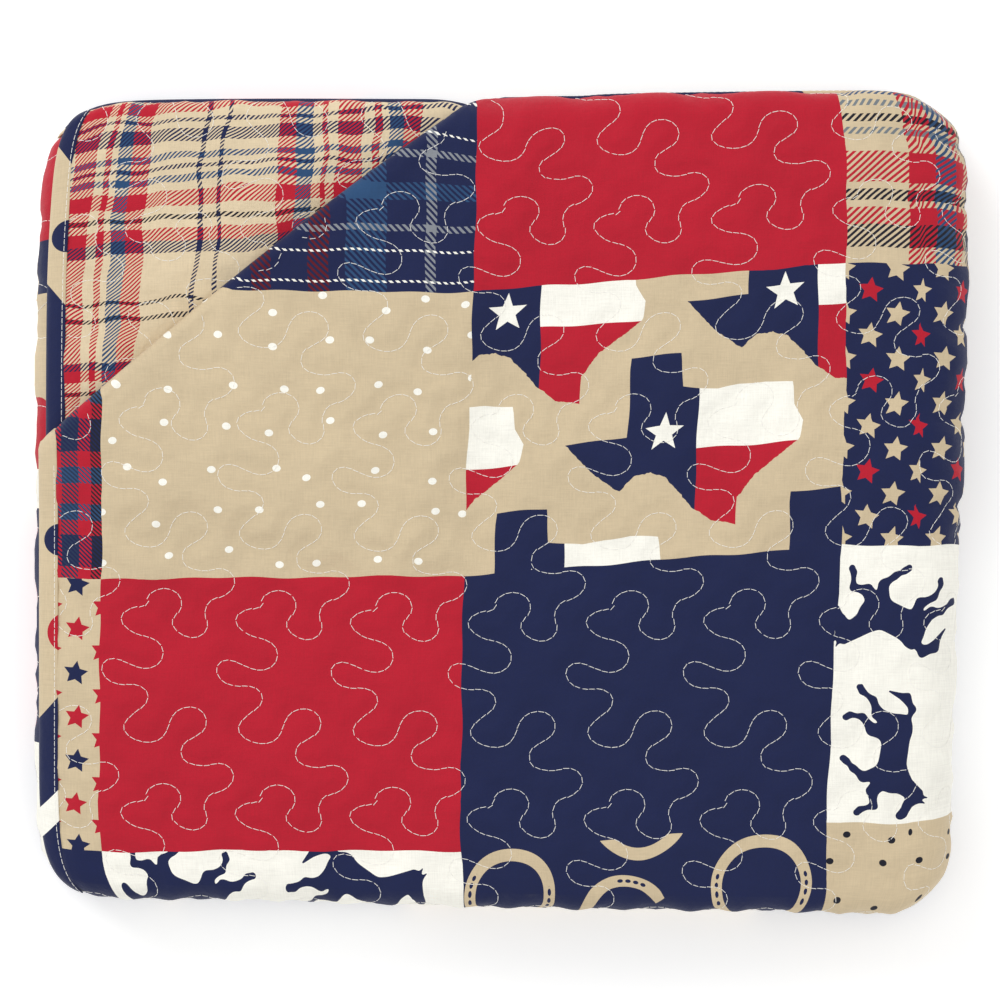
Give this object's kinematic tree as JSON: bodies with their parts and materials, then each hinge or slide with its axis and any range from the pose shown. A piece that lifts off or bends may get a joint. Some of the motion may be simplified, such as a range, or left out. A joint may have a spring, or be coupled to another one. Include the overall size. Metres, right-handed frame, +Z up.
{
  "type": "folded quilted throw",
  "caption": "Printed patchwork throw, quilted all over, bound round its edge and folded flat, with a corner turned under to show the plaid reverse.",
  "frame": {"origin": "centre of the folded package, on the surface that it lies on", "axes": "+Z up out of the package's face, +X towards its right side and +Y towards its top edge, as seen from above"},
  "size_m": [0.4272, 0.3766, 0.0664],
  "materials": {
    "quilted_cotton": "matt printed cotton, quilted",
    "bound_edge": "matt printed cotton, topstitched"
  },
  "bodies": {
    "root": {"quilt": "quilted_cotton", "binding": "bound_edge"}
  },
  "joints": []
}
